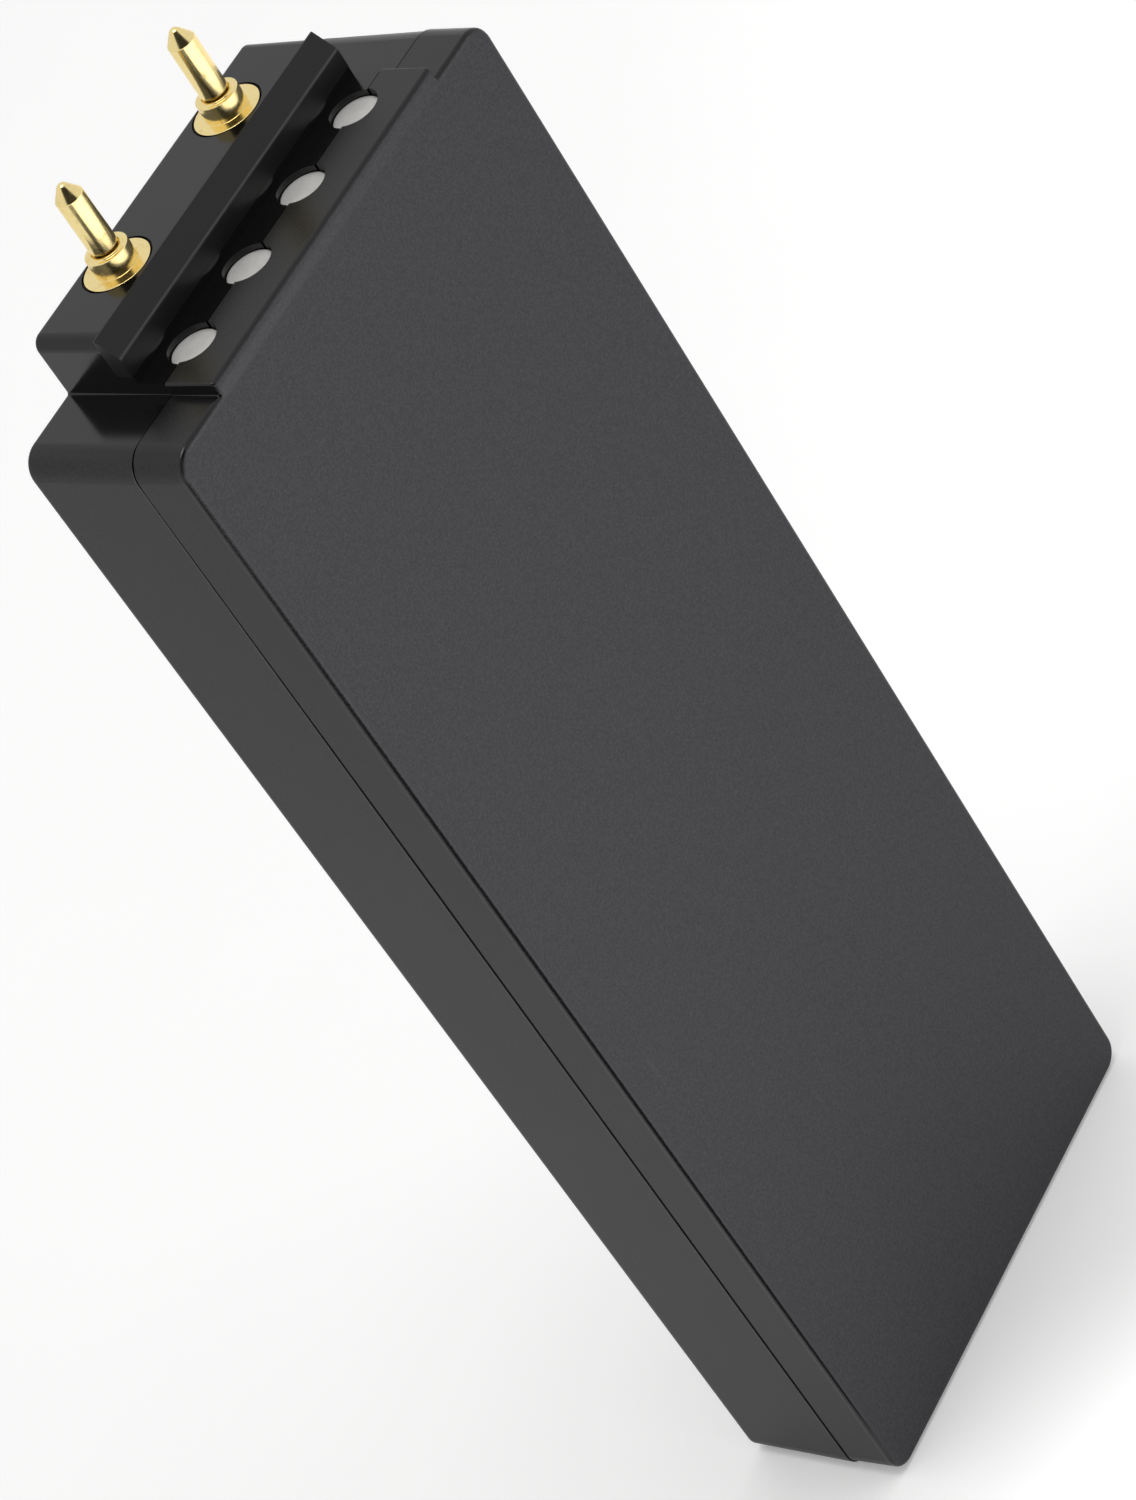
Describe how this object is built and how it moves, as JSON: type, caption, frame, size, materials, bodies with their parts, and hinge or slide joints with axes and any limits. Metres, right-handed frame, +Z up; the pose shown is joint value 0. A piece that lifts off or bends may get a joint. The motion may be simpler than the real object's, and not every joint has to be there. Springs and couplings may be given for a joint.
{
  "type": "battery pack",
  "caption": "Black prismatic rechargeable battery pack in a split moulded case, with sprung gold contact pins and recessed signal contacts on a narrower keyed head.",
  "frame": {"origin": "centre of the bottom end of the case, on the floor it stands on", "axes": "+Z up along the length towards the contact pins, +X along the width, +Y through the thickness towards the back (the rear tray), so the front cover faces -Y"},
  "size_m": [0.06, 0.0204, 0.1764],
  "materials": {
    "case_plastic": "fine-grained dark grey-black moulding",
    "rail_plastic": "smooth black moulding",
    "gold_plate": "gold-plated, turned",
    "spring_steel": "drawn spring wire",
    "tail_brass": "turned, tinned by solder",
    "contact_silver": "bright plated, finely turned",
    "board_laminate": "green solder mask over glass laminate",
    "can_steel": "nickel-plated drawn steel",
    "cap_steel": "nickel-plated pressed steel",
    "sleeve_film": "blue shrink film",
    "electrode_foil": "wound coated foils",
    "gasket_plastic": "natural nylon",
    "ring_paper": "white insulating paper",
    "strip_nickel": "rolled nickel strip",
    "card_fibre": "vulcanised fibre",
    "foam": "open-cell foam",
    "lead_black": "silicone insulation",
    "lead_red": "silicone insulation",
    "lead_white": "PVC insulation",
    "bead_resin": "dipped resin",
    "chip_resin": "moulded resin with tinned legs",
    "resistor_body": "ceramic with black print-free coat",
    "capacitor_body": "fired ceramic with tinned ends",
    "fuse_body": "moulded body",
    "link_nickel": "cut nickel tab"
  },
  "bodies": {
    "pack": {"board_links": "link_nickel", "capacitors": "capacitor_body", "card_bottom": "card_fibre", "card_top": "card_fibre", "cell_can_1": "can_steel", "cell_can_2": "can_steel", "cell_can_3": "can_steel", "cell_can_4": "can_steel", "cell_can_5": "can_steel", "cell_can_6": "can_steel", "cell_cap_1": "cap_steel", "cell_cap_2": "cap_steel", "cell_cap_3": "cap_steel", "cell_cap_4": "cap_steel", "cell_cap_5": "cap_steel", "cell_cap_6": "cap_steel", "cell_gaskets": "gasket_plastic", "cell_sleeve_1": "sleeve_film", "cell_sleeve_2": "sleeve_film", "cell_sleeve_3": "sleeve_film", "cell_sleeve_4": "sleeve_film", "cell_sleeve_5": "sleeve_film", "cell_sleeve_6": "sleeve_film", "cell_washers": "ring_paper", "cell_winding_1": "electrode_foil", "cell_winding_2": "electrode_foil", "cell_winding_3": "electrode_foil", "cell_winding_4": "electrode_foil", "cell_winding_5": "electrode_foil", "cell_winding_6": "electrode_foil", "contact_board": "board_laminate", "controller_chip": "chip_resin", "cutoff_fuse": "fuse_body", "foam_pad": "foam", "front_cover": "case_plastic", "key_rail": "rail_plastic", "lead_middle": "lead_white", "lead_negative": "lead_black", "lead_positive": "lead_red", "pin_barrel_left": "gold_plate", "pin_barrel_right": "gold_plate", "pin_spring_left": "spring_steel", "pin_spring_right": "spring_steel", "pin_tail_left": "tail_brass", "pin_tail_right": "tail_brass", "power_switches": "chip_resin", "protection_board": "board_laminate", "rear_tray": "case_plastic", "sense_resistor": "resistor_body", "signal_contact_1": "contact_silver", "signal_contact_2": "contact_silver", "signal_contact_3": "contact_silver", "signal_contact_4": "contact_silver", "strip_middle": "strip_nickel", "strip_negative": "strip_nickel", "strip_positive": "strip_nickel", "thermistor": "bead_resin", "thermistor_leads": "lead_white"},
    "plunger_left": {"pin_plunger_left": "gold_plate"},
    "plunger_right": {"pin_plunger_right": "gold_plate"}
  },
  "joints": [
    {"name": "pin_press_left", "type": "slide", "parent": "pack", "child": "plunger_left", "axis": [0, 0, -1], "range_m": [0, 0.003], "stiffness_N_per_m": 250, "deforming": ["pin_spring_left"]},
    {"name": "pin_press_right", "type": "slide", "parent": "pack", "child": "plunger_right", "axis": [0, 0, -1], "range_m": [0, 0.003], "stiffness_N_per_m": 250, "deforming": ["pin_spring_right"]}
  ]
}
